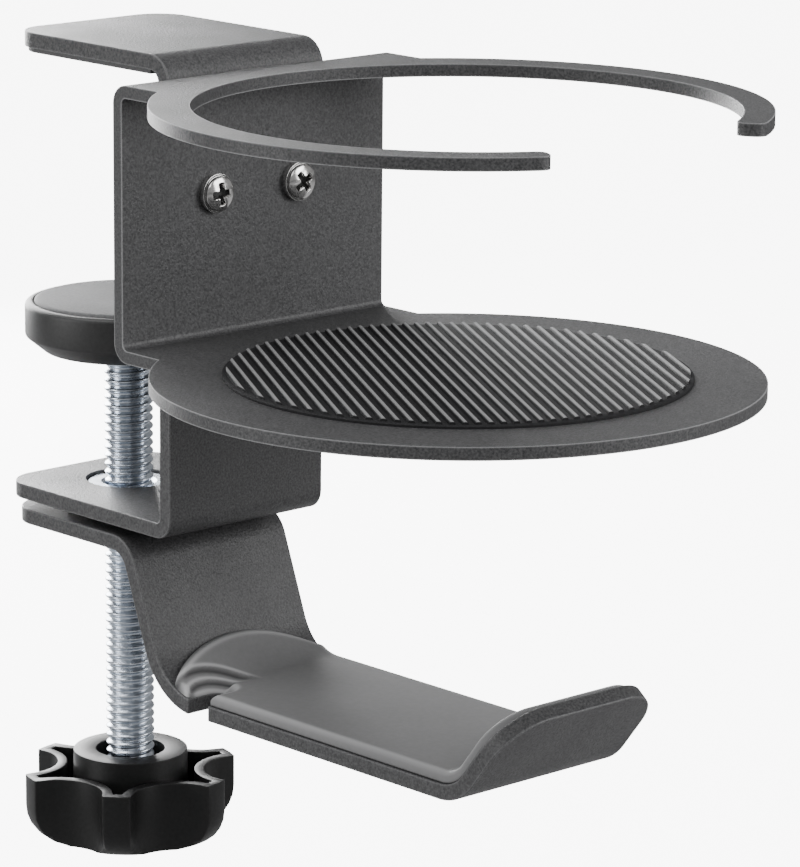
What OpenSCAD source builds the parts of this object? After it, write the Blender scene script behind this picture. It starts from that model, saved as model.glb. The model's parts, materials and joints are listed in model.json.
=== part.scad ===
// Desk clamp cup holder with a swivelling headphone hook.
// Millimetres, +Z up, +X from the desk edge out towards the cup.
// The clamp screw stands on the Z axis. Z = 0 is the face that lies on the
// desk top, so everything the desk carries hangs from that plane.
// Every number is a real size and every fit is a named clearance.

/* [Sheet metal] */
// Width of the bracket strip and of the hook strip
strip_w = 32; // [26:0.5:40]
// Thickness of the bracket and hook steel
sheet_t = 2.5; // [2:0.1:3]
// Thickness of the cup frame steel
cup_t = 2; // [1.5:0.1:2.5]
// Radius of the free corners of the strips
corner_r = 6; // [3:0.5:8]

/* [Clamp jaw] */
// Desk face down to the top of the lower plate
jaw_h = 71.1; // [56:0.5:90]
// Screw axis out to the inner face of the wall
throat = 27; // [23:0.5:32]
// Screw axis back to the free end of the top lip
lip_back = 10; // [8:0.5:16]
// Screw axis back to the free end of the lower plate
lower_back = 13.5; // [11:0.5:18]
// Inner radius of the top bend
top_bend_r = 2; // [1:0.1:3]
// Inner radius of the lower bend
low_bend_r = 0.9; // [0.5:0.1:2]
// Thickness of the anti-slip pad under the lip
lip_pad_t = 0.8; // [0.6:0.1:1.5]

/* [Cup frame] */
// Outside diameter of the ring and of the tray
ring_d = 93; // [78:1:112]
// Inside diameter of the ring
ring_in_d = 82; // [66:1:99]
// How far the ring opening sits forward of the ring
ring_off = 1.2; // [0:0.1:2]
// Ring top above the desk face
ring_up = 0.3; // [-4:0.1:3]
// Ring top down to the tray top
cup_h = 41.2; // [34:0.5:50]
// Width of the back plate
plate_w = 54; // [44:1:62]
// Half angle of the gap in the front of the ring
gap_half = 30; // [20:1:40]
// Inner radius of the two bends in the cup frame
cup_bend_r = 1; // [0.6:0.1:1.6]
// Diameter of the mat
mat_d = 71; // [56:1:74]
// Thickness of the mat
mat_t = 1; // [0.8:0.1:1.5]

/* [Cup frame screws] */
// Distance between the two screws
screw_gap = 17; // [14:0.5:20]
// Screw centres above the tray top
screw_up = 22.5; // [18:0.5:28]
// Screw head diameter
head_d = 6.2; // [5.6:0.1:7]
// Screw head height
head_h = 2.2; // [1.8:0.1:2.5]
// Screw thread diameter
fix_d = 3; // [2.5:0.5:4]

/* [Pivot] */
// Outside diameter of the threaded bush
bush_d = 14; // [12:0.5:16]
// Top of the bush below the top of the lower plate
bush_sunk = 0.5; // [0.3:0.1:1]
// Thickness of the friction washer
washer_t = 1.2; // [0.8:0.1:1.6]
// Diameter of the friction washer
washer_d = 21; // [19:0.5:24]
// Thickness of the retaining ring
retainer_t = 1.5; // [1:0.1:2]
// Diameter of the retaining ring
retainer_d = 19; // [18:0.5:22]

/* [Hook] */
// Screw axis back to the free end of the hook strip
hook_back = 12; // [11:0.5:16]
// Upper plate top down to the arm top
hook_drop = 23.3; // [20:0.5:30]
// Steepness of the drop, degrees from level
drop_a = 69; // [60:1:75]
// Screw axis to the sharp corner at the top of the drop
drop_x = 19.2; // [18.5:0.1:24]
// Inner radius of the bend at the top of the drop
drop_r1 = 3.5; // [2:0.5:4]
// Inner radius of the bend at the foot of the drop
drop_r2 = 10; // [7:0.5:11]
// Screw axis to the sharp corner where the lip turns up
lip_x = 94.8; // [80:0.5:115]
// Steepness of the end lip, degrees from level
lip_a = 52; // [45:1:60]
// Length of the lip from its sharp corner
lip_len = 17.1; // [14:0.5:22]
// Inner radius of the lip bend
lip_r = 6.5; // [4:0.5:8]
// Corner radius of the end lip
lip_corner_r = 8; // [5:0.5:10]
// Screw axis to the middle of the cable notch
notch_x = 36.2; // [35:0.2:40]
// Width of the cable notch
notch_w = 4.8; // [4.5:0.1:6]
// Depth of the cable notch
notch_deep = 6.6; // [5:0.1:9]
// Thickness of the soft pad
pad_t = 1.8; // [1.2:0.1:2.5]
// How far the pad sits in from each side edge
pad_inset = 0.4; // [0.3:0.1:1]

/* [Clamp screw and foot] */
// Thread diameter of the clamp screw
screw_d = 8; // [7:0.5:10]
// Desk face down to the top of the foot
foot_down = 40.9; // [26:0.5:48]
// Diameter of the foot
foot_d = 33.6; // [30:0.5:40]
// Height of the foot
foot_h = 8.5; // [8:0.5:10]
// Foot top down to the rim of the knob
rim_down = 79.4; // [70:0.5:95]

/* [Knob] */
// Diameter over the six lobes
knob_d = 36; // [33:0.5:37]
// Height of the knob from its base to its rim
knob_h = 11.7; // [10:0.1:14]
// Wall of the hollow knob
knob_wall = 1.6; // [1.2:0.1:2]
// Radius at the bottom of each hollow in the side
scallop_in = 12.3; // [12:0.1:13]
// Diameter of the hub
hub_d = 19.4; // [18:0.1:20]
// Hub top above the rim
hub_up = 3; // [2:0.1:4]

/* [Fits] */
// Radial clearance of a shaft that turns in a hole
run_c = 0.06; // [0.03:0.01:0.09]
// Gap between parts that move past each other
move_c = 0.3; // [0.3:0.05:0.5]
// Radial clearance of a screw in a plain hole
hole_c = 0.2; // [0.1:0.05:0.4]

/* [Hidden] */
$fn = 48;
eps = 0.01;
bend_n = 16;                             // flats round each bend of the hook
half_w = strip_w / 2;
wall_x = throat;                         // inner face of the wall
wall_f = throat + sheet_t;               // outer face of the wall
lip_z = lip_pad_t;                       // underside of the top lip
lip_top = lip_z + sheet_t;
low_z = -jaw_h;                          // top of the lower plate
low_bot = low_z - sheet_t;
plate_f = wall_f + cup_t;                // front face of the cup plate
ring_r = ring_d / 2;
ring_x = plate_f + ring_r;               // ring and tray centre
ring_z = ring_up;                        // ring top
tray_z = ring_up - cup_h;                // tray top
fix_z = tray_z + screw_up;
bush_r = bush_d / 2;
screw_r = screw_d / 2;
washer_z = low_bot - washer_t;           // underside of the washer
hook_z = washer_z - move_c;              // top of the hook strip
hook_bot = hook_z - sheet_t;
retainer_z = hook_bot - move_c;          // top of the retaining ring
bush_bot = retainer_z - retainer_t;
arm_z = hook_z - hook_drop;              // top of the arm
slope_dx = hook_drop / tan(drop_a);
foot_x = drop_x + slope_dx;              // sharp corner at the foot of the drop
drop_t1 = (drop_r1 + sheet_t) * tan(drop_a / 2);
drop_t2 = drop_r2 * tan(drop_a / 2);     // bend's start before the corner
lip_t = lip_r * tan(lip_a / 2);
foot_z = -foot_down;                     // top of the foot
foot_bot = foot_z - foot_h;
rim_z = foot_z - rim_down;               // rim of the knob
knob_bot = rim_z - knob_h;
hub_z = rim_z + hub_up;

// ---------- helpers ----------

// Part of a flat ring between two angles, drawn in the XZ profile plane
module arc2(cx, cz, ri, ro, a0, a1) {
    am = (a0 + a1) / 2;
    far = 3 * ro;
    translate([cx, cz]) intersection() {
        difference() {
            circle(r = ro);
            circle(r = ri);
        }
        polygon([[0, 0], [far * cos(a0), far * sin(a0)],
                 [far * cos(am), far * sin(am)],
                 [far * cos(a1), far * sin(a1)]]);
    }
}

// Push an XZ profile out to the given width along Y
module strip(w) {
    rotate([90, 0, 0]) linear_extrude(height = w, center = true) children();
}

// Flat plate from x = 0 to len with its two far corners rounded
module end_plate(len, w, t, r) {
    linear_extrude(height = t) difference() {
        translate([0, -w / 2]) square([len, w]);
        for (s = [-1, 1]) difference() {
            translate([len - r + eps, s > 0 ? w / 2 - r + eps : -w / 2 - 5])
                square([r + 5, r + 5 - eps]);
            translate([len - r + eps, s * (w / 2 - r + eps)]) circle(r = r);
        }
    }
}

// ---------- clamp bracket ----------

module clamp_bracket() color("#3c3d3f") {
    ro1 = top_bend_r + sheet_t;
    ro2 = low_bend_r + sheet_t;
    c1x = wall_f - ro1;
    c1z = lip_top - ro1;
    c2x = wall_f - ro2;
    c2z = low_bot + ro2;
    difference() {
        union() {
            translate([c1x, 0, lip_z]) mirror([1, 0, 0])
                end_plate(c1x + lip_back, strip_w, sheet_t, corner_r);
            translate([c2x, 0, low_bot]) mirror([1, 0, 0])
                end_plate(c2x + lower_back, strip_w, sheet_t, corner_r);
            strip(strip_w) {
                arc2(c1x, c1z, top_bend_r, ro1, 0, 90);
                translate([wall_x, c2z]) square([sheet_t, c1z - c2z]);
                arc2(c2x, c2z, low_bend_r, ro2, 270, 360);
            }
        }
        translate([0, 0, low_bot - 1]) cylinder(r = bush_r, h = sheet_t + 2);
        for (s = [-1, 1]) translate([wall_x - 1, s * screw_gap / 2, fix_z])
            rotate([0, 90, 0]) cylinder(r = fix_d / 2, h = sheet_t + 2);
    }
}

module lip_pad() color("#2a2a2a") {
    x1 = wall_f - top_bend_r - sheet_t - 0.5;
    translate([x1, 0, 0]) mirror([1, 0, 0])
        end_plate(x1 + lip_back - 0.6, strip_w - 1.2, lip_pad_t,
                  corner_r - 0.6);
}

// ---------- cup frame ----------

module flange2() {
    translate([ring_x, 0]) circle(r = ring_r, $fn = 96);
    translate([plate_f + cup_bend_r, -plate_w / 2])
        square([ring_r - cup_bend_r, plate_w]);
}

module cup_frame() color("#343537") {
    ro = cup_bend_r + cup_t;
    cx = wall_f + ro;
    difference() {
        union() {
            translate([0, 0, ring_z - cup_t]) linear_extrude(height = cup_t)
                difference() {
                    flange2();
                    translate([ring_x + ring_off, 0])
                        circle(d = ring_in_d, $fn = 96);
                    polygon([[ring_x + 4, 0],
                             [ring_x + 4 + ring_d * cos(gap_half),
                              ring_d * sin(gap_half)],
                             [ring_x + 4 + ring_d * cos(gap_half),
                              -ring_d * sin(gap_half)]]);
                }
            translate([0, 0, tray_z - cup_t]) linear_extrude(height = cup_t)
                flange2();
            strip(plate_w) {
                arc2(cx, ring_z - ro, cup_bend_r, ro, 90, 180);
                translate([wall_f, tray_z - cup_t + ro])
                    square([cup_t, cup_h + cup_t - 2 * ro]);
                arc2(cx, tray_z - cup_t + ro, cup_bend_r, ro, 180, 270);
            }
        }
        for (s = [-1, 1]) translate([wall_f - 1, s * screw_gap / 2, fix_z])
            rotate([0, 90, 0])
                cylinder(r = fix_d / 2 + hole_c, h = cup_t + 2);
    }
}

module cup_mat() color("#111214") {
    translate([ring_x, 0, tray_z]) cylinder(d = mat_d, h = mat_t, $fn = 96);
}

// Pan head with a cross recess, lying along +X
module fixing() {
    difference() {
        rotate([0, 90, 0]) union() {
            rotate_extrude() difference() {
                union() {
                    square([head_d / 2, head_h * 0.5]);
                    intersection() {
                        translate([0, head_h - head_d]) circle(r = head_d);
                        square([head_d / 2 - 0.35, head_h]);
                    }
                }
                translate([-head_d, -head_d])
                    square([head_d, 3 * head_d]);
            }
            translate([0, 0, -cup_t - sheet_t + 0.2])
                cylinder(r = fix_d / 2, h = cup_t + sheet_t);
        }
        for (a = [0, 90]) rotate([a + 20, 0, 0])
            translate([head_h - 1.2, -0.45, -1.7]) cube([2, 0.9, 3.4]);
    }
}

module cup_screws() color("#c9ccd0") {
    for (s = [-1, 1]) translate([plate_f, s * screw_gap / 2, fix_z])
        rotate([s * 15, 0, 0]) fixing();
}

// ---------- pivot ----------

module pivot_bush() color("#c5c8cc") {
    top = low_z - bush_sunk;
    difference() {
        translate([0, 0, bush_bot]) cylinder(r = bush_r, h = top - bush_bot);
        translate([0, 0, bush_bot - 1])
            cylinder(r = screw_r + run_c, h = top - bush_bot + 2);
    }
}

module friction_washer() color("#1a1a1a") {
    translate([0, 0, washer_z]) difference() {
        cylinder(d = washer_d, h = washer_t);
        translate([0, 0, -1]) cylinder(r = bush_r, h = washer_t + 2);
    }
}

module retaining_ring() color("#b4b7bb") {
    translate([0, 0, bush_bot]) difference() {
        cylinder(d = retainer_d, h = retainer_t);
        translate([0, 0, -1]) cylinder(r = bush_r, h = retainer_t + 2);
    }
}

// ---------- hook ----------

// Points along a bend: centre, radius, first and last angle
function bend(cx, cz, r, a0, a1) =
    [for (i = [0:bend_n]) let (a = a0 + (a1 - a0) * i / bend_n)
        [cx + r * cos(a), cz + r * sin(a)]];

// A line that follows the hook strip, d above its top face, from the top of
// the drop to a length up along the lip
function hook_line(d, up) = concat(
    bend(drop_x - drop_t1, hook_z - drop_r1 - sheet_t,
         drop_r1 + sheet_t + d, 90, 90 - drop_a),
    bend(foot_x + drop_t2, arm_z + drop_r2, drop_r2 - d, 270 - drop_a, 270),
    bend(lip_x - lip_t, arm_z + lip_r, lip_r - d, 270, 270 + lip_a),
    [[lip_x + up * cos(lip_a) - d * sin(lip_a),
      arm_z + up * sin(lip_a) + d * cos(lip_a)]]);

function flip(v) = [for (i = [len(v) - 1:-1:0]) v[i]];

// Cuts the two far corners of a strip that ends at x = len, z = 0 its middle
module corner_cut(len, w, r) {
    for (s = [-1, 1]) difference() {
        translate([len - r + eps, s > 0 ? w / 2 - r + eps : -w / 2 - 5, -8])
            cube([r + 5, r + 5 - eps, 16]);
        translate([len - r + eps, s * (w / 2 - r + eps), -9])
            cylinder(r = r, h = 18);
    }
}

module notch_cut() {
    translate([notch_x, -half_w + notch_deep - notch_w / 2, arm_z - 20])
        cylinder(r = notch_w / 2, h = 40);
    translate([notch_x - notch_w / 2 + eps, -half_w - 5, arm_z - 20])
        cube([notch_w - 2 * eps, notch_deep - notch_w / 2 + 5, 40]);
}

module hook_arm() color("#37383a") {
    difference() {
        strip(strip_w) polygon(concat(
            [[-hook_back, hook_z]], hook_line(0, lip_len),
            flip(hook_line(-sheet_t, lip_len)), [[-hook_back, hook_bot]]));
        translate([0, 0, hook_bot + sheet_t / 2]) mirror([1, 0, 0])
            corner_cut(hook_back, strip_w, corner_r);
        translate([lip_x, 0, arm_z]) rotate([0, -lip_a, 0])
            corner_cut(lip_len, strip_w, lip_corner_r);
        translate([0, 0, hook_bot - 1])
            cylinder(r = bush_r + run_c, h = sheet_t + 2);
        notch_cut();
    }
}

module hook_pad() color("#7a7b7d") {
    end_r = 22;
    len = lip_len - 1.5;
    // the pad's inner end is round and climbs the foot of the drop
    px = foot_x - drop_t2 * cos(drop_a);
    pz = arm_z + drop_t2 * sin(drop_a);
    difference() {
        intersection() {
            strip(strip_w - 2 * pad_inset) polygon(concat(
                hook_line(pad_t, len), flip(hook_line(0, len))));
            translate([px + end_r * cos(35), 0, pz - end_r * sin(35)])
                rotate([0, 35, 0]) {
                    cylinder(r = end_r, h = 60, center = true, $fn = 96);
                    translate([0, -30, -30]) cube([100, 60, 120]);
                }
        }
        translate([lip_x, 0, arm_z]) rotate([0, -lip_a, 0])
            corner_cut(len, strip_w - 2 * pad_inset, lip_corner_r - 1);
        notch_cut();
    }
}

// ---------- clamp screw, foot and knob ----------

neck_r = 3;
head_r = 4.6;
floor_t = 3.2;

module foot_shell() color("#141415") {
    r = foot_d / 2;
    difference() {
        translate([0, 0, foot_bot]) rotate_extrude($fn = 96)
            polygon([[0, 0], [r - 3.2, 0], [r, 2.6], [r, foot_h - 0.9],
                     [r - 0.5, foot_h - 0.4], [0, foot_h - 0.4]]);
        translate([0, 0, foot_z - 1.6])
            cylinder(r = r - 1.5, h = 3, $fn = 96);
        translate([0, 0, foot_bot + floor_t])
            cylinder(r = head_r + move_c, h = foot_h);
        translate([0, 0, foot_bot - 1])
            cylinder(r = neck_r + run_c, h = foot_h);
    }
}

module foot_pad() color("#6d6e70") {
    translate([0, 0, foot_z - 1.6])
        cylinder(r = foot_d / 2 - 1.5, h = 1.6, $fn = 96);
}

module clamp_screw() color("#b9bec4") {
    z0 = knob_bot + 1.6;
    z1 = foot_bot - move_c;
    z2 = foot_bot + floor_t + move_c;
    translate([0, 0, z0]) cylinder(r = screw_r, h = z1 - z0);
    translate([0, 0, z1 - eps]) cylinder(r = neck_r, h = z2 - z1 + 0.5);
    translate([0, 0, z2]) cylinder(r = head_r, h = 1.4);
}

// Six lobes with hollows between them, set in from the outside by w
module star2(w) {
    r = knob_d / 2;
    ph = 30 - 7.25;
    c = (r * r - scallop_in * scallop_in) / 2 / (r * cos(ph) - scallop_in);
    difference() {
        circle(r = r - w, $fn = 96);
        for (k = [0:5]) rotate(k * 60 + 43)
            translate([c, 0]) circle(r = c - scallop_in + w);
    }
}

// Round body with a generous lower edge, set in from the outside by w
module knob_turned(w) {
    r = knob_d / 2;
    q = 6.5;
    translate([0, 0, knob_bot]) rotate_extrude($fn = 96) intersection() {
        union() {
            translate([0, w]) square([r - q, 60]);
            translate([0, q]) square([r - w, 60]);
            translate([r - q, q]) circle(r = q - w);
        }
        square([r, 60]);
    }
}

module knob() color("#121213") {
    difference() {
        union() {
            difference() {
                intersection() {
                    translate([0, 0, knob_bot])
                        linear_extrude(height = knob_h) star2(0);
                    knob_turned(0);
                }
                intersection() {
                    translate([0, 0, knob_bot + 0.5])
                        linear_extrude(height = knob_h + 5)
                            star2(knob_wall);
                    knob_turned(knob_wall);
                }
            }
            translate([0, 0, knob_bot + 1])
                cylinder(d = hub_d, h = knob_h + hub_up - 1);
        }
        translate([0, 0, knob_bot + 1.6])
            cylinder(r = screw_r + 1.4, h = 40);
        translate([0, 0, hub_z - 2.6])
            cylinder(r = screw_r + 1.7, h = 10);
    }
}

module knob_insert() color("#aeb3b8") {
    z0 = knob_bot + 1.6;
    translate([0, 0, z0]) difference() {
        cylinder(r = screw_r + 1.4, h = hub_z - 2.4 - z0);
        translate([0, 0, -1]) cylinder(r = screw_r, h = 40);
    }
}

clamp_bracket();
lip_pad();
cup_frame();
cup_mat();
cup_screws();
pivot_bush();
friction_washer();
retaining_ring();
hook_arm();
hook_pad();
foot_shell();
foot_pad();
clamp_screw();
knob();
knob_insert();
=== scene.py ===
# %% [markdown]
# # A desk clamp that holds a cup and a pair of headphones
# The object is bent from three pieces of sheet steel: a clamp bracket, a cup frame
# with an open ring over a round tray, and a hook that turns under the bracket.
# A threaded rod with a black knob presses a round foot up against the desk.
# Everything is in metres, in the same frame as the engineering model, so each
# piece goes straight to the place that model gives.

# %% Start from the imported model
import bpy
import json
import math
from mathutils import Vector, Matrix

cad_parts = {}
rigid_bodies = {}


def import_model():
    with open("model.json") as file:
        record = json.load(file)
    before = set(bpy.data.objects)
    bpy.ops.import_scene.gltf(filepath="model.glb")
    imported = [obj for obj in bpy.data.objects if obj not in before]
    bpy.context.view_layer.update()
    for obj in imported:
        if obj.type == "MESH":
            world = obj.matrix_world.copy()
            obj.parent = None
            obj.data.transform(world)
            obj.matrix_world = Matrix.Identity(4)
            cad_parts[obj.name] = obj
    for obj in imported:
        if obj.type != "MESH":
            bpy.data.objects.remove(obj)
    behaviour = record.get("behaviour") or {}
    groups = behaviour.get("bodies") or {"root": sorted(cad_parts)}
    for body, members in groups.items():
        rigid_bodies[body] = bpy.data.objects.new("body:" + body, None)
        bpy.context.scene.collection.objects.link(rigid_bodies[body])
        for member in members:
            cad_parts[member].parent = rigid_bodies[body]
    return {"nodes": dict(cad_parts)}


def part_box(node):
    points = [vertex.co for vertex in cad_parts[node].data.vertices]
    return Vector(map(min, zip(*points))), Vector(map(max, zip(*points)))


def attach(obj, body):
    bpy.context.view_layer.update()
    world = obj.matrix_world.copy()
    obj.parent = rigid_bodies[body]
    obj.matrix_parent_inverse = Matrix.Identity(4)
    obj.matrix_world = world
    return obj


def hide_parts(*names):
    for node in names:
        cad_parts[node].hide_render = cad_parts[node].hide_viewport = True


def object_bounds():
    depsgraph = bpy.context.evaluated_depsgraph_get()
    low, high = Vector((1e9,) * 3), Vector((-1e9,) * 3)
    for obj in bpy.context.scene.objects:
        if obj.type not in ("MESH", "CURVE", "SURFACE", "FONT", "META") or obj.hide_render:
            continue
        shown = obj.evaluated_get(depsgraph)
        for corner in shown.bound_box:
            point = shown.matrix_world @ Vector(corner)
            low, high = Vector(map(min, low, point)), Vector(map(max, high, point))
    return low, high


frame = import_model()
cad_low, cad_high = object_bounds()
MM = 0.001
print("nodes", len(frame["nodes"]), "box", [round(v / MM, 1) for v in cad_high - cad_low])

# %% [markdown]
# ## Camera
# A product like this is seen from in front of the cup, to the right of the wall and
# a little above, through a long lens. The camera's place, its turn and its focal
# length are given as plain numbers, and a turn of half a degree levels the uprights.

# %% Camera
AZIMUTH, TILT, ROLL = math.radians(47.163), math.radians(13.199), math.radians(0.502)
back = Vector((math.sin(AZIMUTH) * math.cos(TILT), -math.cos(AZIMUTH) * math.cos(TILT),
               math.sin(TILT)))
level = Vector((math.cos(AZIMUTH), math.sin(AZIMUTH), 0))
lift = back.cross(level)
right = level * math.cos(ROLL) + lift * math.sin(ROLL)
up = lift * math.cos(ROLL) - level * math.sin(ROLL)

camera = bpy.data.objects.new("camera", bpy.data.cameras.new("camera"))
bpy.context.scene.collection.objects.link(camera)
turn = Matrix((right, up, back)).transposed().to_4x4()
camera.matrix_world = Matrix.Translation(Vector((563.34, -461.83, 107.21)) * MM) @ turn
camera.data.lens = 4563.4 * 36 / 867
camera.data.clip_start = 0.05
bpy.context.scene.camera = camera
print("lens", round(camera.data.lens, 1), "mm")

# %% [markdown]
# ## Floor and light
# The object hangs from a desk, so the plain pale floor lies a little below the lowest
# place that the knob can be screwed down to. White paper in a studio is lit so hard
# that it looks white and yet gives little light back, so the floor's glow is seen
# by the camera alone, and its own colour is a soft grey that lights from below.

# %% Helpers for edit mode
def pick(obj, test, kind="VERT"):
    """Select the points, edges or faces of a mesh in edit mode by a test of each."""
    bpy.ops.mesh.select_mode(type=kind)
    bpy.ops.mesh.select_all(action="DESELECT")
    bpy.ops.object.mode_set(mode="OBJECT")
    parts = {"VERT": obj.data.vertices, "EDGE": obj.data.edges,
             "FACE": obj.data.polygons}[kind]
    found = 0
    for p in parts:
        p.select = bool(test(p))
        found += p.select
    bpy.ops.object.mode_set(mode="EDIT")
    return found


def alone(obj):
    """Leave edit mode with only this object selected and active."""
    if bpy.context.object and bpy.context.object.mode != "OBJECT":
        bpy.ops.object.mode_set(mode="OBJECT")
    for o in bpy.context.scene.objects:
        o.select_set(False)
    obj.select_set(True)
    bpy.context.view_layer.objects.active = obj
    return obj


def begin(name):
    """Name the primitive that was just added."""
    obj = bpy.context.object
    obj.name = obj.data.name = name
    return obj


def clear_selection():
    """Nothing selected, so that an operator touches only what comes next."""
    for o in bpy.context.scene.objects:
        o.select_set(False)


# %% Pale floor
KNOB_TRAVEL = 0.021
FLOOR_Z = cad_low.z - KNOB_TRAVEL - 0.003
FLOOR_GLOW, SKY_GLOW, SKY_LIGHT = 8.0, 8.2, 0.30
clear_selection()
bpy.ops.mesh.primitive_grid_add(x_subdivisions=8, y_subdivisions=8, size=12,
                                location=(0, 0, FLOOR_Z))
floor = begin("floor")
paper = bpy.data.materials.new("pale_floor")
paper.use_nodes = True
tree = paper.node_tree
sheet = tree.nodes["Principled BSDF"]
sheet.inputs["Base Color"].default_value = (0.34, 0.34, 0.343, 1)
sheet.inputs["Roughness"].default_value = 0.9
sheet.inputs["Specular IOR Level"].default_value = 0.1
sheet.inputs["Emission Color"].default_value = (1, 1, 1, 1)
seen = tree.nodes.new("ShaderNodeLightPath")
glow = tree.nodes.new("ShaderNodeMath")
glow.operation = "MULTIPLY"
glow.inputs[1].default_value = FLOOR_GLOW
tree.links.new(seen.outputs["Is Camera Ray"], glow.inputs[0])
tree.links.new(glow.outputs[0], sheet.inputs["Emission Strength"])
floor.data.materials.append(paper)
print("floor", len(floor.data.polygons), "faces")

# %% Studio lights
def soft_light(name, aim, way, distance, size, power):
    """A square soft box that looks at a point from a direction."""
    data = bpy.data.lights.new(name, "AREA")
    data.shape = "SQUARE"
    data.size = size
    data.energy = power
    obj = bpy.data.objects.new(name, data)
    bpy.context.scene.collection.objects.link(obj)
    where = Vector(aim) + Vector(way).normalized() * distance
    obj.location = where
    obj.visible_camera = False
    obj.rotation_euler = (where - Vector(aim)).to_track_quat("Z", "Y").to_euler()
    return obj


middle = (cad_low + cad_high) / 2
LIGHTS = {
    "light_top": ((-0.45 * right + 0.10 * back + Vector((0, 0, 1))), 0.9, 0.6, 6.0),
    "light_back": ((-0.50 * right - 1.0 * back + Vector((0, 0, 0.48))), 0.55, 0.36, 6.8),
    "light_right": ((1.0 * right + 0.30 * back + Vector((0, 0, 0.30))), 0.8, 0.5, 4.6),
    "light_front": ((0.30 * right + 1.0 * back + Vector((0, 0, 0.60))), 1.1, 0.6, 2.9),
    "light_left": ((-1.0 * right + 0.35 * back + Vector((0, 0, 0.10))), 1.0, 0.4, 3.6),
}
for name, (way, distance, size, power) in LIGHTS.items():
    soft_light(name, middle, way, distance, size, power)

world = bpy.data.worlds.new("studio")
bpy.context.scene.world = world
world.use_nodes = True
sky = world.node_tree
ground = sky.nodes["Background"]
ground.inputs["Color"].default_value = (1.0, 1.0, 1.0, 1)
seen = sky.nodes.new("ShaderNodeLightPath")
level_of = sky.nodes.new("ShaderNodeMapRange")
level_of.inputs["To Min"].default_value = SKY_LIGHT
level_of.inputs["To Max"].default_value = SKY_GLOW
sky.links.new(seen.outputs["Is Camera Ray"], level_of.inputs["Value"])
sky.links.new(level_of.outputs["Result"], ground.inputs["Strength"])
print("lights", len(LIGHTS))

# %% [markdown]
# ## Shared surface effects
# Powder coat, moulded plastic and rubber all have a fine grain, and all of them get
# a painted highlight along their edges, a lighter colour where light would catch a
# radius. Both effects are made once, as groups with named values, and every
# material below uses them with its own numbers.

# %% Grain: a fine even speckle with a slow drift under it
def new_group(name, ins, outs):
    """A shader node group with named number inputs and outputs."""
    g = bpy.data.node_groups.new(name, "ShaderNodeTree")
    for label, value in ins:
        s = g.interface.new_socket(name=label, in_out="INPUT", socket_type="NodeSocketFloat")
        s.default_value = value
    for label in outs:
        g.interface.new_socket(name=label, in_out="OUTPUT", socket_type="NodeSocketFloat")
    return g, g.nodes.new("NodeGroupInput"), g.nodes.new("NodeGroupOutput")


def put(tree, kind, **values):
    """Add a node and set its inputs and its properties by name."""
    n = tree.nodes.new(kind)
    for key, value in values.items():
        label = key.replace("_", " ").title() if not key.startswith("in") else key
        if label in n.inputs:
            n.inputs[label].default_value = value
        elif key.startswith("in") and key[2:].isdigit():
            n.inputs[int(key[2:])].default_value = value
        else:
            setattr(n, key, value)
    return n


grain, g_in, g_out = new_group("grain", [("Size", 0.0004), ("Drift Size", 0.02)],
                               ["Speckle", "Drift"])
where = put(grain, "ShaderNodeTexCoord")
for label, out, detail in (("Size", "Speckle", 3.0), ("Drift Size", "Drift", 2.0)):
    invert = put(grain, "ShaderNodeMath", operation="DIVIDE", in0=1.0)
    grain.links.new(g_in.outputs[label], invert.inputs[1])
    noise = put(grain, "ShaderNodeTexNoise", detail=detail, roughness=0.6)
    grain.links.new(where.outputs["Object"], noise.inputs["Vector"])
    grain.links.new(invert.outputs[0], noise.inputs["Scale"])
    grain.links.new(noise.outputs["Fac"], g_out.inputs[out])
print("group", grain.name, [s.name for s in grain.interface.items_tree])

# %% Edge: a mask that is 1 on an edge and 0 on a flat face
edge, e_in, e_out = new_group("edge", [("Radius", 0.0006), ("Strength", 6.0)], ["Mask"])
rounded = put(edge, "ShaderNodeBevel", samples=6)
edge.links.new(e_in.outputs["Radius"], rounded.inputs["Radius"])
flat = put(edge, "ShaderNodeNewGeometry")
same = put(edge, "ShaderNodeVectorMath", operation="DOT_PRODUCT")
edge.links.new(rounded.outputs["Normal"], same.inputs[0])
edge.links.new(flat.outputs["Normal"], same.inputs[1])
missing = put(edge, "ShaderNodeMath", operation="SUBTRACT", in0=1.0)
edge.links.new(same.outputs["Value"], missing.inputs[1])
gain = put(edge, "ShaderNodeMath", operation="MULTIPLY", use_clamp=True)
edge.links.new(missing.outputs[0], gain.inputs[0])
edge.links.new(e_in.outputs["Strength"], gain.inputs[1])
edge.links.new(gain.outputs[0], e_out.inputs["Mask"])
print("group", edge.name)
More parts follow.
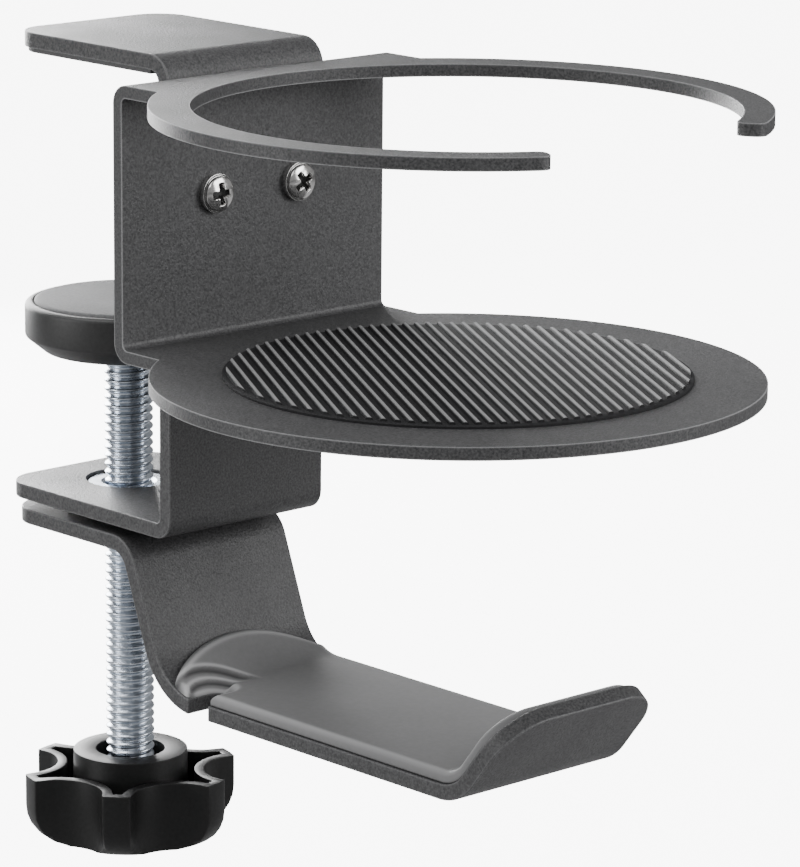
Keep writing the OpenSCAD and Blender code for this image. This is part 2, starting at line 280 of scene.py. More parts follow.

# %% [markdown]
# ## Materials
# Each finish is a Principled surface. The speckle shifts its colour a little and
# gives it a fine bump, the drift changes its roughness over centimetres, and the
# edge mask paints a highlight on its corners. Numbers that don't vary are set on the shader.

# %% A finish from a few plain values
def finish(name, dark, light, rough, size, bump, edge_highlight_colour=None, edge_gain=5.0,
           drift=0.06, metal=0.0, specular=0.5, edge_radius=0.0006, drift_size=0.02):
    """A material with grain in its colour, roughness and bump, and a painted highlight on its
    edges.
    """
    m = bpy.data.materials.new(name)
    m.use_nodes = True
    t = m.node_tree
    shader = t.nodes["Principled BSDF"]
    shader.inputs["Metallic"].default_value = metal
    shader.inputs["Specular IOR Level"].default_value = specular
    g = put(t, "ShaderNodeGroup", node_tree=grain)
    g.inputs["Size"].default_value = size
    g.inputs["Drift Size"].default_value = drift_size
    mix = put(t, "ShaderNodeMix", data_type="RGBA")
    mix.inputs[6].default_value = (*dark, 1)
    mix.inputs[7].default_value = (*light, 1)
    spread = put(t, "ShaderNodeMapRange")
    spread.inputs["From Min"].default_value = 0.3
    spread.inputs["From Max"].default_value = 0.7
    t.links.new(g.outputs["Speckle"], spread.inputs["Value"])
    t.links.new(spread.outputs["Result"], mix.inputs[0])
    colour = mix.outputs[2]
    # The edge colour is a painted highlight: a lighter colour on each edge, where light would
    # catch it.
    if edge_highlight_colour:
        e = put(t, "ShaderNodeGroup", node_tree=edge)
        e.inputs["Radius"].default_value = edge_radius
        e.inputs["Strength"].default_value = edge_gain
        over = put(t, "ShaderNodeMix", data_type="RGBA")
        over.inputs[7].default_value = (*edge_highlight_colour, 1)
        t.links.new(e.outputs["Mask"], over.inputs[0])
        t.links.new(colour, over.inputs[6])
        colour = over.outputs[2]
    t.links.new(colour, shader.inputs["Base Color"])
    r = put(t, "ShaderNodeMapRange")
    r.inputs["From Min"].default_value = 0.3
    r.inputs["From Max"].default_value = 0.7
    r.inputs["To Min"].default_value = rough - drift
    r.inputs["To Max"].default_value = rough + drift
    t.links.new(g.outputs["Drift"], r.inputs["Value"])
    t.links.new(r.outputs["Result"], shader.inputs["Roughness"])
    b = put(t, "ShaderNodeBump", strength=1.0)
    b.inputs["Distance"].default_value = bump
    t.links.new(g.outputs["Speckle"], b.inputs["Height"])
    t.links.new(b.outputs["Normal"], shader.inputs["Normal"])
    return m


def lay_over(material, mask, tone):
    """Mix a tone over a finish's colour where a mask is 1."""
    t = material.node_tree
    base = t.nodes["Principled BSDF"].inputs["Base Color"]
    over = put(t, "ShaderNodeMix", data_type="RGBA")
    over.inputs[7].default_value = (*tone, 1)
    t.links.new(mask, over.inputs[0])
    t.links.new(base.links[0].from_socket, over.inputs[6])
    t.links.new(over.outputs[2], base)


# Each edge colour below is a painted highlight along the piece's edges.
coat = finish(
    "graphite_powder_coat", (0.017, 0.017, 0.018), (0.088, 0.088, 0.090), 0.45,
    0.00036, 0.00010, edge_highlight_colour=(0.30, 0.30, 0.305), edge_gain=7.0, edge_radius=0.0004)
black = finish(
    "black_moulding", (0.005, 0.005, 0.005), (0.009, 0.009, 0.009), 0.42,
    0.0006, 0.00001, edge_highlight_colour=(0.06, 0.06, 0.061), edge_gain=5.0,
    specular=0.26, edge_radius=0.0003)
zinc = finish(
    "bright_zinc", (0.50, 0.55, 0.62), (0.72, 0.77, 0.84), 0.27, 0.0009, 0.000006,
    metal=1.0, drift=0.05, drift_size=0.006)
nickel = finish(
    "bright_nickel", (0.60, 0.59, 0.58), (0.78, 0.77, 0.76), 0.17, 0.0007, 0.000004,
    metal=1.0, drift=0.04, drift_size=0.004)
grip = finish(
    "grained_grip_rubber", (0.085, 0.086, 0.088), (0.125, 0.126, 0.128), 0.68,
    0.0005, 0.00006, edge_highlight_colour=(0.16, 0.16, 0.16), edge_gain=3.0)
silicone = finish(
    "grey_silicone", (0.182, 0.182, 0.184), (0.198, 0.198, 0.200), 0.60,
    0.0009, 0.000006, drift=0.03, drift_size=0.012, specular=0.16)
foot_black = finish(
    "foot_moulding", (0.016, 0.016, 0.016), (0.024, 0.024, 0.024), 0.46,
    0.0006, 0.00001, edge_highlight_colour=(0.09, 0.09, 0.091), edge_gain=5.0, edge_radius=0.0003)
# This near-black colour is painted shade for the inside of the screws' cross recesses.
recess = finish(
    "dull_recess", (0.010, 0.010, 0.010), (0.030, 0.030, 0.030), 0.6, 0.0003, 0.00001)
print("materials", [m.name for m in (coat, black, zinc, nickel, grip, silicone,
                                     foot_black, recess)])

# %% [markdown]
# ## Bent steel sheets
# The bracket, the cup frame and the hook are cut from sheet and bent, and their
# exact shapes are in the engineering model. They could be modelled again, but a
# copy is truer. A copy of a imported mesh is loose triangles, so its points are
# merged and its flat faces joined first. Then a bevel rounds every cut edge, as the
# powder coat does on the real one, and each bend is shaded smooth.

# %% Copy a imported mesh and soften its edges
def softened(node, name, radius, segments=3, limit=35, smooth=30):
    """A merged copy of a CAD node with its sharp edges rounded."""
    obj = bpy.data.objects.new(name, frame["nodes"][node].data.copy())
    obj.data.name = name
    bpy.context.scene.collection.objects.link(obj)
    obj.data.materials.clear()
    alone(obj)
    bpy.ops.object.mode_set(mode="EDIT")
    bpy.ops.mesh.select_mode(type="VERT")
    bpy.ops.mesh.select_all(action="SELECT")
    bpy.ops.mesh.remove_doubles(threshold=0.000002)
    bpy.ops.mesh.dissolve_limited(angle_limit=math.radians(0.5), delimit=set())
    bpy.ops.object.mode_set(mode="OBJECT")
    if radius:
        soften(obj, radius, segments, limit)
        shade(obj, smooth)
    return obj


def shade(obj, angle):
    """Smooth shading up to an angle, where big flat faces still look flat."""
    bpy.ops.object.shade_smooth_by_angle(angle=math.radians(angle))
    flatten = obj.modifiers.new("flat faces stay flat", "WEIGHTED_NORMAL")
    flatten.weight = 100
    flatten.keep_sharp = True
    bpy.ops.object.modifier_apply(modifier=flatten.name)


def soften(obj, radius, segments=3, limit=35):
    """Round the sharp edges with a bevel and apply it."""
    m = obj.modifiers.new("soft edges", "BEVEL")
    m.width = radius
    m.segments = segments
    m.limit_method = "ANGLE"
    m.angle_limit = math.radians(limit)
    m.miter_outer = "MITER_ARC"
    m.use_clamp_overlap = True
    bpy.ops.object.modifier_apply(modifier=m.name)


def hand_over(obj, body, material, slot, *nodes):
    """Give a finished piece its material and its body, and hide the nodes it stands for."""
    obj.data.materials.clear()
    obj.data.materials.append(material)
    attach(obj, body)
    if nodes:
        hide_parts(*nodes)
    low = [min(v.co[i] for v in obj.data.vertices) / MM for i in range(3)]
    high = [max(v.co[i] for v in obj.data.vertices) / MM for i in range(3)]
    print(obj.name, len(obj.data.polygons), "faces", [round(v, 1) for v in low + high])
    return obj


# %% Bracket, cup frame and hook
bracket = softened("clamp_bracket", "bracket_sheet", 0.00045)
hand_over(bracket, "frame", coat, "coated_steel", "clamp_bracket")
hook = softened("hook_arm", "hook_sheet", 0.00045)
hand_over(hook, "hook", coat, "coated_steel", "hook_arm")

# %% [markdown]
# The two ends of the ring have rounded corners as well, because a sharp corner
# would scratch a hand that reaches for the cup. They are upright edges, so they are
# picked by their direction and their place, and bevelled before the soft edges.

# %% Cup frame with rounded ring ends
cup = softened("cup_frame", "cup_sheet", 0)
bpy.ops.object.mode_set(mode="EDIT")


def ring_end(e):
    a, b = (cup.data.vertices[i].co for i in e.vertices)
    outward = min(a.x, b.x) > 0.108 and (a - b).length > 0.0015
    upright = abs((a - b).normalized().z) > 0.99 and a.z > -0.01
    at_gap = abs(abs(math.atan2(a.y, a.x - 0.082)) - math.radians(30)) < 0.002
    return outward and upright and at_gap


corners = pick(cup, ring_end, "EDGE")
bpy.ops.mesh.bevel(offset=0.0016, segments=5)
alone(cup)
soften(cup, 0.0004)
shade(cup, 30)
hand_over(cup, "frame", coat, "coated_steel", "cup_frame")
print("rounded ring corners", corners)

# %% [markdown]
# ## A cutter
# Some outlines are simplest as one solid cut by another: the mat's circle, the pad's
# round end and notch, and the cross in a screw head. The cutter is thrown away.

# %% Cut one mesh with another
def cut_with(obj, cutter, operation):
    """Cut one mesh with another and throw the cutter away."""
    alone(obj)
    m = obj.modifiers.new("cut", "BOOLEAN")
    m.operation, m.solver, m.object = operation, "EXACT", cutter
    bpy.ops.object.modifier_apply(modifier=m.name)
    bpy.data.objects.remove(cutter)


print("cutter ready")

# %% [markdown]
# ## Turned pieces
# Washers, the bush, the foot and the hub are round, and are turned or moulded
# round. A lathe in mesh form is a circle that is extruded ring by ring up its
# profile. The first and the last ring are closed with a face, or joined to each
# other where the piece has a hole through it.

# %% A lathe made of extrudes
def place_ring(obj, radius, z, angles):
    """Put the selected ring of points at a radius, or one radius for each angle."""
    bpy.ops.object.mode_set(mode="OBJECT")
    ring = [v for v in obj.data.vertices if v.select]
    for v in ring:
        a = math.atan2(v.co.y, v.co.x)
        r = radius(a) if callable(radius) else radius
        v.co = (r * math.cos(a), r * math.sin(a), z)
    bpy.ops.object.mode_set(mode="EDIT")
    return len(ring)


def turned(name, profile, sides=96, hole=False, angles=None):
    """Extrude a circle along (radius, height) pairs, in millimetres."""
    clear_selection()
    bpy.ops.mesh.primitive_circle_add(vertices=sides, radius=1)
    obj = begin(name)
    if angles:
        for v, a in zip(obj.data.vertices, angles):
            v.co = (math.cos(a), math.sin(a), 0)
    bpy.ops.object.mode_set(mode="EDIT")
    bpy.ops.mesh.select_mode(type="VERT")
    bpy.ops.mesh.select_all(action="SELECT")
    scaled = [((lambda a, f=r: f(a) * MM) if callable(r) else r * MM, z * MM)
              for r, z in profile]
    place_ring(obj, *scaled[0], angles)
    if not hole:
        bpy.ops.mesh.edge_face_add()
    for r, z in scaled[1:]:
        bpy.ops.mesh.extrude_region_move()
        place_ring(obj, r, z, angles)
    if hole:
        bpy.ops.mesh.extrude_region_move()
        place_ring(obj, *scaled[0], angles)
        bpy.ops.mesh.select_all(action="SELECT")
        bpy.ops.mesh.remove_doubles(threshold=0.0000005)
    bpy.ops.mesh.select_all(action="SELECT")
    bpy.ops.mesh.normals_make_consistent(inside=False)
    return alone(obj)


print("lathe ready")

# %% Bush, washer and retaining ring on the hook's pivot
def span(node):
    """Radius, lowest and highest point of a round node, in millimetres."""
    low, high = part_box(node)
    return (high.x - low.x) / 2 / MM, low.z / MM, high.z / MM


rod_r = 4.0
r, z0, z1 = span("pivot_bush")
bush = turned("bush_turned", [(rod_r + 0.06, z0), (r - 0.4, z0), (r, z0 + 0.4),
                              (r, z1 - 0.4), (r - 0.4, z1), (rod_r + 0.6, z1),
                              (rod_r + 0.06, z1 - 0.5)], hole=True)
bpy.ops.object.shade_smooth_by_angle(angle=math.radians(30))
hand_over(bush, "frame", zinc, "zinc_steel", "pivot_bush")

bush_r = r
r, z0, z1 = span("friction_washer")
washer = turned("friction_washer_cut", [(bush_r, z0), (r - 0.25, z0), (r, z0 + 0.25),
                                        (r, z1 - 0.25), (r - 0.25, z1), (bush_r, z1)],
                hole=True)
bpy.ops.object.shade_smooth_by_angle(angle=math.radians(30))
hand_over(washer, "frame", black, "black_plastic", "friction_washer")

r, z0, z1 = span("retaining_ring")
ring = turned("retaining_ring_turned", [(bush_r, z0), (r - 0.3, z0), (r, z0 + 0.3),
                                        (r, z1 - 0.3), (r - 0.3, z1), (bush_r, z1)],
              hole=True)
bpy.ops.object.shade_smooth_by_angle(angle=math.radians(30))
hand_over(ring, "frame", zinc, "zinc_steel", "retaining_ring")

# %% [markdown]
# ## Clamp foot
# The foot is a moulded black dish with a chamfer below, and a grey rubber pad is
# glued inside its rim. The rim stands a hair lower than the pad, so only rubber
# touches the desk. Both are turned; the dish's corners are bevelled after, and the
# pad's edge is rounded in its profile.

# %% Foot dish and its pad
pad_r, pad_z0, pad_z1 = span("foot_pad")
r, z0, z1 = span("foot_shell")
foot = turned("foot_dish", [(3.06, z0), (r - 3.2, z0), (r, z0 + 2.6), (r, z1 - 0.5),
                            (r - 0.5, z1), (pad_r + 0.02, z1), (pad_r + 0.02, pad_z0),
                            (4.9, pad_z0), (4.9, z0 + 3.2), (3.06, z0 + 3.2)], hole=True)
soften(foot, 0.0003, 3, 30)
bpy.ops.object.shade_smooth_by_angle(angle=math.radians(30))
hand_over(foot, "foot", foot_black, "black_plastic", "foot_shell")

foot_pad = turned("foot_rubber", [(pad_r, pad_z0), (pad_r, pad_z1 - 0.55),
                                  (pad_r - 0.12, pad_z1 - 0.25), (pad_r - 0.45, pad_z1 - 0.05),
                                  (pad_r - 0.9, pad_z1), (pad_r * 0.5, pad_z1)])
bpy.ops.object.shade_smooth_by_angle(angle=math.radians(40))
hand_over(foot_pad, "foot", grip, "grip_rubber", "foot_pad")

# %% [markdown]
# ## Clamp screw
# The rod has a rolled thread, 8 mm across with 1.4 mm between its turns. Rolled
# threads have rounded crests and roots, which give the rod its bright bands. One
# turn's outline is drawn by extruding a point, and a screw modifier sweeps it up
# the axis. The top and the bottom are then cut flat and closed.

# %% Thread
PITCH = 1.4
rod_z0, rod_top = span("clamp_screw")[1:]
foot_low = span("foot_shell")[1]
rod_z1 = foot_low - 0.3
OUTLINE = [(3.42, 0.0), (3.42, 0.10), (3.50, 0.20), (3.86, 0.47), (3.97, 0.58),
           (3.99, 0.70), (3.97, 0.82), (3.86, 0.93), (3.50, 1.20), (3.42, 1.30),
           (3.42, 1.4)]
clear_selection()
bpy.ops.mesh.primitive_plane_add(size=0.001)
rod = begin("clamp_rod")
bpy.ops.object.mode_set(mode="EDIT")
bpy.ops.mesh.select_all(action="SELECT")
bpy.ops.mesh.merge(type="CENTER")
start = (OUTLINE[0][0] * MM, 0, (rod_z0 - 2 * PITCH + OUTLINE[0][1]) * MM)
bpy.ops.transform.translate(value=start)
for (ra, za), (rb, zb) in zip(OUTLINE, OUTLINE[1:]):
    bpy.ops.mesh.extrude_region_move(
        TRANSFORM_OT_translate={"value": ((rb - ra) * MM, 0, (zb - za) * MM)})
alone(rod)
turns = math.ceil((rod_z1 - rod_z0) / PITCH) + 3
sweep = rod.modifiers.new("thread", "SCREW")
sweep.screw_offset = PITCH * MM
sweep.iterations = turns
sweep.steps = sweep.render_steps = 36
sweep.use_merge_vertices = True
sweep.merge_threshold = 0.000002
bpy.ops.object.modifier_apply(modifier=sweep.name)
print("thread turns", turns, "points", len(rod.data.vertices))

# %% Cut the thread flat at both ends, and add the neck that turns in the foot
bpy.ops.object.mode_set(mode="EDIT")
for z, top in ((rod_z0, False), (rod_z1, True)):
    bpy.ops.mesh.select_all(action="SELECT")
    bpy.ops.mesh.bisect(plane_co=(0, 0, z * MM), plane_no=(0, 0, 1), use_fill=True,
                        clear_inner=not top, clear_outer=top, threshold=0.0000001)
bpy.ops.mesh.select_all(action="SELECT")
bpy.ops.mesh.remove_doubles(threshold=0.000001)
bpy.ops.mesh.normals_make_consistent(inside=False)
alone(rod)
bpy.ops.object.shade_smooth_by_angle(angle=math.radians(40))
turned("rod_neck", [(3.0, rod_z1 - 0.01), (3.0, rod_top - 1.4), (4.6, rod_top - 1.4),
                           (4.6, rod_top - 0.3), (4.3, rod_top)], sides=48)
bpy.ops.object.shade_smooth_by_angle(angle=math.radians(30))
rod.select_set(True)
bpy.context.view_layer.objects.active = rod
bpy.ops.object.join()
hand_over(rod, "screw", zinc, "zinc_steel", "clamp_screw")

# %% [markdown]
# ## Knob
# The knob is a hollow moulding with six lobes. Each lobe is a short flat between
# two crisp corners, with a hollow between neighbours, and the side curls under to
# a small base. It is extruded like the turned pieces, but each ring's radius
# depends on the angle, so that the star and the curl meet by themselves.

# %% Star outline
k0, k_top = span("knob")[1:]
kr = 18.0
RIM, HOLLOW, WALL, CURL = k0 + 11.7, 12.3, 1.6, 6.5
half_lobe = math.radians(30 - 7.25)
cut_at = (kr ** 2 - HOLLOW ** 2) / 2 / (kr * math.cos(half_lobe) - HOLLOW)
cut_r = cut_at - HOLLOW
half_inner = math.acos(((kr - WALL) ** 2 + cut_at ** 2 - (cut_r + WALL) ** 2)
                       / (2 * (kr - WALL) * cut_at))


def star(a, inset=0.0):
    """Radius of the six-lobed outline at an angle, set in by a wall."""
    d = (a - math.radians(43) + math.pi / 6) % (math.pi / 3) - math.pi / 6
    rest = (cut_r + inset) ** 2 - (cut_at * math.sin(d)) ** 2
    hollow = cut_at * math.cos(d) - math.sqrt(rest) if rest > 0 else 99
    return min(kr - inset, hollow)


one_lobe = sorted({round(math.degrees(x), 4) for x in
                   [-half_lobe + 2 * half_lobe * i / 18 for i in range(19)]
                   + [s * half_inner for s in (-1, 1)]
                   + [s * math.radians(25) for s in (-1, 1)] + [math.radians(30)]})
lobe_angles = [math.radians(43 + 60 * k + d) for k in range(6) for d in one_lobe]
print("knob outline points", len(lobe_angles), "hollow radius", round(cut_r, 2))


# %% Knob shell, rim, hub and recess
def side(radius, inset=0.0):
    """The smaller of the star's radius and a plain radius, at each angle."""
    return lambda a: min(star(a, inset), radius)


profile = [(side(kr - CURL), k0)]
for step in range(15, 91, 15):
    t = math.radians(step)
    profile.append((side(kr - CURL + CURL * math.sin(t)), k0 + CURL - CURL * math.cos(t)))
profile += [(side(99), RIM), (side(99, WALL), RIM)]
inner = CURL - WALL
for step in range(90, -1, -15):
    t = math.radians(step)
    profile.append((side(kr - CURL + inner * math.sin(t), WALL),
                    k0 + CURL - inner * math.cos(t)))
hub_r, recess_r, bore_r = 9.7, rod_r + 1.7, rod_r + 1.4
profile += [(hub_r, k0 + WALL), (hub_r - 0.25, k_top), (recess_r, k_top),
            (recess_r, k_top - 2.6), (bore_r, k_top - 2.6), (bore_r, k0 + WALL)]
knob = turned("knob_moulding", profile, sides=len(lobe_angles), angles=lobe_angles)
soften(knob, 0.00035, 3, 32)
bpy.ops.object.mode_set(mode="EDIT")
bpy.ops.mesh.select_all(action="SELECT")
bpy.ops.mesh.remove_doubles(threshold=0.000003)
bpy.ops.mesh.dissolve_degenerate(threshold=0.000002)
alone(knob)
bpy.ops.object.shade_smooth_by_angle(angle=math.radians(28))
hand_over(knob, "screw", black, "black_plastic", "knob")

# %% Metal insert in the hub
r, z0, z1 = span("knob_insert")
insert = turned("knob_insert_turned", [(rod_r, z0), (r, z0), (r, z1 - 0.25), (r - 0.25, z1),
                                       (rod_r + 0.4, z1), (rod_r, z1 - 0.4)],
                sides=64, hole=True)
bpy.ops.object.shade_smooth_by_angle(angle=math.radians(30))
hand_over(insert, "screw", zinc, "zinc_steel", "knob_insert")

# %% [markdown]
# ## Cup mat
# The mat is moulded rubber with straight ribs across it, so that a wet cup neither
# slides nor sticks. The ribs could be a bump, but their round tops shine one by
# one, so they are real. One rib is a bevelled bar, it is repeated by an array, and
# a cylinder cuts the whole row to a circle.

# %% Ribs cut to a circle
low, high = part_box("cup_mat")
mat_c = (low + high) / 2
mat_r = (high.x - low.x) / 2
RIB, RIB_WIDE, RIB_HIGH, RIB_TURN = 0.00185, 0.00092, 0.00085, math.radians(-31)
rows = int(2 * mat_r / RIB) + 2
clear_selection()
bpy.ops.mesh.primitive_cube_add(size=1)
ribs = begin("cup_mat_ribs")
bpy.ops.object.mode_set(mode="EDIT")
bpy.ops.transform.resize(value=(2.2 * mat_r, RIB_WIDE, RIB_HIGH))
pick(ribs, lambda e: abs(ribs.data.vertices[e.vertices[0]].co.z) > 0 and
     min(ribs.data.vertices[i].co.z for i in e.vertices) > 0 and
     abs(ribs.data.vertices[e.vertices[0]].co.x
         - ribs.data.vertices[e.vertices[1]].co.x) > 0.01, "EDGE")
bpy.ops.mesh.bevel(offset=0.00043, segments=4)
bpy.ops.mesh.select_all(action="SELECT")
bpy.ops.transform.translate(value=(0, -RIB * (rows - 1) / 2,
                                   high.z - RIB_HIGH / 2))
alone(ribs)
row = ribs.modifiers.new("row", "ARRAY")
row.count = rows
row.use_relative_offset = False
row.use_constant_offset = True
row.constant_offset_displace = (0, RIB, 0)
bpy.ops.object.modifier_apply(modifier=row.name)
bpy.ops.object.mode_set(mode="EDIT")
bpy.ops.mesh.select_all(action="SELECT")
bpy.ops.transform.rotate(value=-RIB_TURN, orient_axis="Z", center_override=(0, 0, 0))
bpy.ops.transform.translate(value=(mat_c.x, mat_c.y, 0))
alone(ribs)
clear_selection()
bpy.ops.mesh.primitive_cylinder_add(vertices=128, radius=mat_r - 0.0006, depth=0.01,
                                    location=(mat_c.x, mat_c.y, high.z))
cutter = begin("mat_cutter")
cut_with(ribs, cutter, "INTERSECT")
print("ribs", rows, "faces", len(ribs.data.polygons))

# %% Thin base of the mat with a soft rim
base = turned("cup_mat_base", [(mat_r / MM, low.z / MM), (mat_r / MM, low.z / MM + 0.35),
                               (mat_r / MM - 0.25, low.z / MM + 0.55),
                               (mat_r / MM - 1.2, low.z / MM + 0.55)], sides=128)
bpy.ops.object.mode_set(mode="EDIT")
bpy.ops.mesh.select_all(action="SELECT")
bpy.ops.transform.translate(value=(mat_c.x, mat_c.y, 0))
alone(base)
bpy.ops.object.shade_smooth_by_angle(angle=math.radians(40))
alone(ribs)
bpy.ops.object.shade_smooth_by_angle(angle=math.radians(50))

# %% Rubber with a painted highlight on each rib top, lighter than the grooves between them
rubber = finish(
    "ribbed_mat_rubber", (0.008, 0.008, 0.009), (0.016, 0.016, 0.017), 0.72,
    0.0005, 0.00003, specular=0.25)
tree = rubber.node_tree
coords = put(tree, "ShaderNodeTexCoord")
split = put(tree, "ShaderNodeSeparateXYZ")
tree.links.new(coords.outputs["Object"], split.inputs[0])
height = put(tree, "ShaderNodeMapRange")
height.inputs["From Min"].default_value = high.z - 0.00014
height.inputs["From Max"].default_value = high.z - 0.00002
tree.links.new(split.outputs["Z"], height.inputs["Value"])
# The pale tone on the very top of each rib is a painted highlight.
lay_over(rubber, height.outputs["Result"], (0.240, 0.241, 0.243))
hand_over(ribs, "frame", rubber, "mat_rubber", "cup_mat")
hand_over(base, "frame", rubber, "mat_rubber")

# %% [markdown]
# ## Small parts
# The two fixing screws have pan heads with a cross recess, and the pad under the
# lip is a thin strip of rubber. Their shapes are right in the engineering model, so
# they are copies with softer edges, and a head no longer shows a knife edge. A
# driver's cross is deep and narrows inwards, and shade makes it look black inside, so
# each head is cut by two tapered wings and the walls of the cut get a painted shade, a nearly
# black colour.

# %% Fixing screws and lip pad
screws = softened("cup_screws", "fixing_screws", 0.00012, 2, 30, 35)
low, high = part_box("cup_screws")
HEAD_R, HEAD_TURN, SCREW_LEAN, CROSS_R = 3.1 * MM, 20, 15, 2.2 * MM
WING, WING_MIDDLE, WING_FLOOR = (0.0017, 0.0043, 0.00125), 0.0006, 0.0021
head_y, head_z = high.y - HEAD_R, (low.z + high.z) / 2
for head in (-1, 1):
    for turn in (0, 90):
        clear_selection()
        bpy.ops.mesh.primitive_cube_add(size=1)
        wing = begin("cross_wing")
        bpy.ops.object.mode_set(mode="EDIT")
        bpy.ops.transform.resize(value=WING)
        pick(wing, lambda v: v.co.x < 0)
        bpy.ops.transform.resize(value=(1, 0.5, 0.6))
        bpy.ops.mesh.select_all(action="SELECT")
        bpy.ops.transform.rotate(
            value=-math.radians(turn + HEAD_TURN + SCREW_LEAN * head),
            orient_axis="X", center_override=(0, 0, 0))
        bpy.ops.transform.translate(value=(high.x - WING_MIDDLE, head * head_y, head_z))
        alone(wing)
        cut_with(screws, wing, "DIFFERENCE")
alone(screws)
shade(screws, 30)
hand_over(screws, "frame", nickel, "plated_screw", "cup_screws")
# The faces inside each cross get the near-black colour, a painted shade.
screws.data.materials.append(recess)
hollow = [f for f in screws.data.polygons
          if WING_FLOOR > high.x - f.center.x > 0.00065
          and math.hypot(abs(f.center.y) - head_y, f.center.z - head_z) < CROSS_R]
for f in hollow:
    f.material_index = 1
print("faces in the cross recesses", len(hollow))
lip_pad = softened("lip_pad", "lip_rubber", 0.00015, 2)
hand_over(lip_pad, "frame", grip, "grip_rubber", "lip_pad")

# %% [markdown]
# ## Soft pad on the hook
# The pad is grey silicone, moulded to the curve of the arm. Its edges are round, its
# inner end is an arc, and a notch lets a cable through. Two steps go down to the
# notch like a shallow bowl, and their ends run out into the pad. It is made flat,
# where outline and notch are simple, and then every point is bent along the arm, as
# the real one is.

# %% Flat pad: outline, round end and notch
PAD_T, HALF, LENGTH = 1.8, 15.6, 86.98
END_R, CORNER = 21.2, 7.0
NOTCH = (13.22, -11.8, 2.4)
clear_selection()
bpy.ops.mesh.primitive_cube_add(size=1)
pad = begin("arm_pad")
bpy.ops.object.mode_set(mode="EDIT")
bpy.ops.transform.resize(value=(LENGTH * MM, 2 * HALF * MM, PAD_T * MM))
bpy.ops.transform.translate(value=(LENGTH / 2 * MM, 0, PAD_T / 2 * MM))
pick(pad, lambda e: abs((pad.data.vertices[e.vertices[0]].co
                         - pad.data.vertices[e.vertices[1]].co).z) > 0.001
     and pad.data.vertices[e.vertices[0]].co.x > 0.01, "EDGE")
bpy.ops.mesh.bevel(offset=CORNER * MM, segments=16)
alone(pad)


clear_selection()
bpy.ops.mesh.primitive_cylinder_add(vertices=160, radius=END_R * MM, depth=0.02,
                                    location=(END_R * MM, 0, 0))
round_end = begin("round_end")
bpy.ops.object.mode_set(mode="EDIT")
pick(round_end, lambda v: v.co.x > 0.0001)
bpy.ops.transform.translate(value=(0.1, 0, 0))
alone(round_end)
bpy.ops.object.transform_apply(location=True)
cut_with(pad, round_end, "INTERSECT")
clear_selection()
bpy.ops.mesh.primitive_cylinder_add(vertices=48, radius=NOTCH[2] * MM, depth=0.02,
                                    location=(NOTCH[0] * MM, NOTCH[1] * MM, 0))
slot_cut = begin("slot_cut")
bpy.ops.object.mode_set(mode="EDIT")
pick(slot_cut, lambda v: v.co.y < -0.00001)
bpy.ops.transform.translate(value=(0, -0.01, 0))
alone(slot_cut)
bpy.ops.object.transform_apply(location=True)
cut_with(pad, slot_cut, "DIFFERENCE")
print("flat pad", len(pad.data.polygons), "faces")

# %% Even mesh, round edges and the two steps
mesh_size = pad.modifiers.new("even", "REMESH")
mesh_size.mode = "VOXEL"
mesh_size.voxel_size = 0.00032
alone(pad)
bpy.ops.object.modifier_apply(modifier=mesh_size.name)


def ramp(x, low, high):
    t = min(max((x - low) / (high - low), 0), 1)
    return t * t * (3 - 2 * t)


def outline_gap(s, y):
    """How far a point of the flat pad is from its outline, in millimetres."""
    gaps = [HALF - abs(y), LENGTH - s, END_R - math.hypot(s - END_R, y) if s < END_R else 99]
    if s > LENGTH - CORNER and abs(y) > HALF - CORNER:
        gaps.append(CORNER - math.hypot(s - LENGTH + CORNER, abs(y) - HALF + CORNER))
    if y > NOTCH[1]:
        gaps.append(math.hypot(s - NOTCH[0], y - NOTCH[1]) - NOTCH[2])
    else:
        gaps.append(abs(s - NOTCH[0]) - NOTCH[2])
    return max(min(gaps), 0)


EDGE_R = 1.25
STEPS = (12.9, -11.2, (7.6, 0.75), (5.0, 0.65))
rubbed_at = []
for v in pad.data.vertices:
    s, y, d = (c / MM for c in v.co)
    gap = outline_gap(s, y)
    shoulder = math.sqrt(max(EDGE_R ** 2 - max(EDGE_R - gap, 0) ** 2, 0)) - EDGE_R
    top = PAD_T + max(shoulder, -1.1)
    gs, gy = s - STEPS[0], y - STEPS[1]
    ray = math.degrees(math.atan2(gy, -gs))
    along = ramp(ray, -75, -55) * (1 - ramp(ray, 60, 105))
    out = math.hypot(gs, gy)
    # Painted highlight near the pad's outline; in the loop below, painted highlight on each
    # step's lip and painted shade at its foot.
    highlight_minus_shade = math.exp(-((gap - 0.7) / 0.45) ** 2) * 0.8
    for reach, deep in STEPS[2:]:
        top -= deep * along * (1 - ramp(out, reach - 0.35, reach))
        highlight_minus_shade += along * (math.exp(-((out - reach - 0.35) / 0.40) ** 2)
                         - math.exp(-((out - reach + 0.55) / 0.50) ** 2))
    rubbed_at.append(highlight_minus_shade * (d > 0.3))
    v.co.z = d / PAD_T * top * MM
rubbed_map = pad.data.attributes.new("rubbed", "FLOAT", "POINT")
rubbed_map.data.foreach_set("value", rubbed_at)
print("remeshed pad", len(pad.data.vertices), "points")

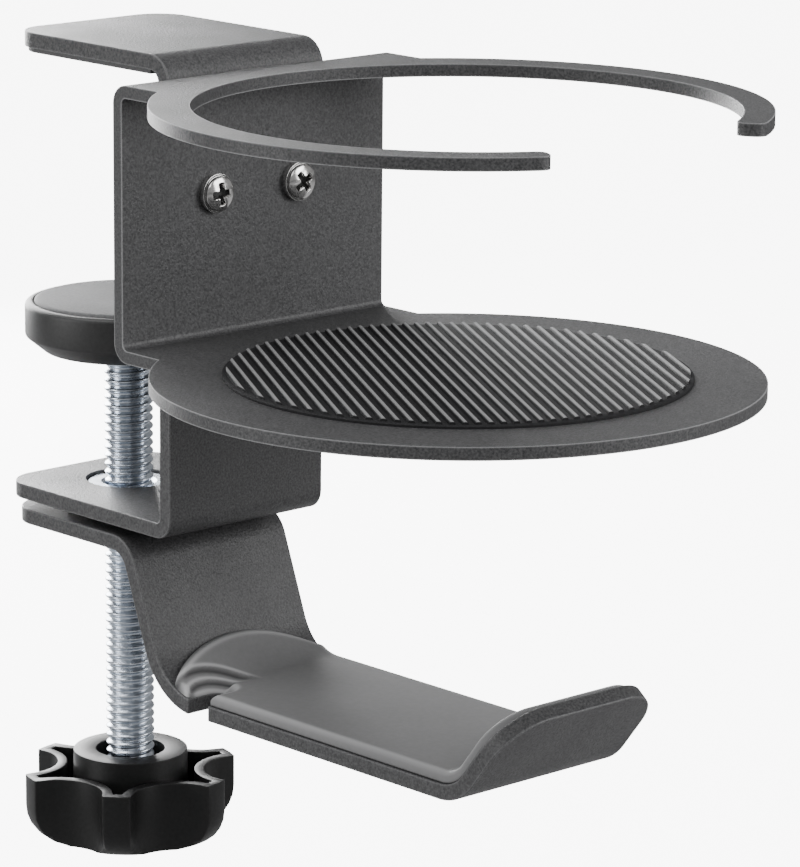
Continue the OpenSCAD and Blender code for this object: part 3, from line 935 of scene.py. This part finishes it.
# %% Bend the pad along the arm
BEND_S, BEND_R, DROP = 12.04, 10.0, math.radians(69)
ARM_Z, FLAT_X, LIP_X = -98.4, 35.017, 91.63
LIP_R, LIP_A = 6.5, math.radians(52)


def along_arm(s, y, d):
    """The place of a flat pad's point on the bent arm, in millimetres."""
    if s < BEND_S:
        a = -math.pi / 2 - DROP + s / BEND_R
        rr = BEND_R - d
        return FLAT_X + rr * math.cos(a), y, ARM_Z + BEND_R + rr * math.sin(a)
    s -= BEND_S
    if s < LIP_X - FLAT_X:
        return FLAT_X + s, y, ARM_Z + d
    s -= LIP_X - FLAT_X
    a = min(s / LIP_R, LIP_A)
    rr = LIP_R - d
    x, z = LIP_X + rr * math.sin(a), ARM_Z + LIP_R - rr * math.cos(a)
    more = max(s - LIP_R * LIP_A, 0)
    return x + more * math.cos(LIP_A), y, z + more * math.sin(LIP_A)


for v in pad.data.vertices:
    s, y, d = (c / MM for c in v.co)
    v.co = [c * MM for c in along_arm(max(s, 0), y, max(d, 0.01))]
alone(pad)
calm = pad.modifiers.new("calm", "SMOOTH")
calm.factor, calm.iterations = 0.5, 2
bpy.ops.object.modifier_apply(modifier=calm.name)
bpy.ops.object.shade_smooth()
print("bent pad", len(pad.data.polygons), "faces")

# %% [markdown]
# The pad gets a painted highlight where it stands out and a painted shade where it
# doesn't. The value stored on each point before the bend says which: above 0 on the
# rim and the lips of the steps, below 0 at their feet.

# %% Painted highlight on the pad's lips and painted shade at the feet of its steps
highlight_shade_node = put(silicone.node_tree, "ShaderNodeAttribute", attribute_name="rubbed")
# A pale tone paints the highlight where the value is above 0, and a dark tone paints the shade
# where it is below 0.
for sign, tone in ((1, (0.46, 0.46, 0.465)), (-1, (0.045, 0.045, 0.046))):
    level = put(silicone.node_tree, "ShaderNodeMapRange")
    level.inputs["From Max"].default_value = sign
    level.inputs["To Max"].default_value = 0.9
    silicone.node_tree.links.new(highlight_shade_node.outputs["Fac"], level.inputs["Value"])
    lay_over(silicone, level.outputs["Result"], tone)
hand_over(pad, "hook", silicone, "grey_silicone", "hook_pad")

# %% [markdown]
# ## Size
# The engineering model's box is printed at the end.

# %% Print the engineering model's box and finish
clear_selection()
print("cad box", [round(v / MM, 2) for v in (*cad_low, *cad_high)])
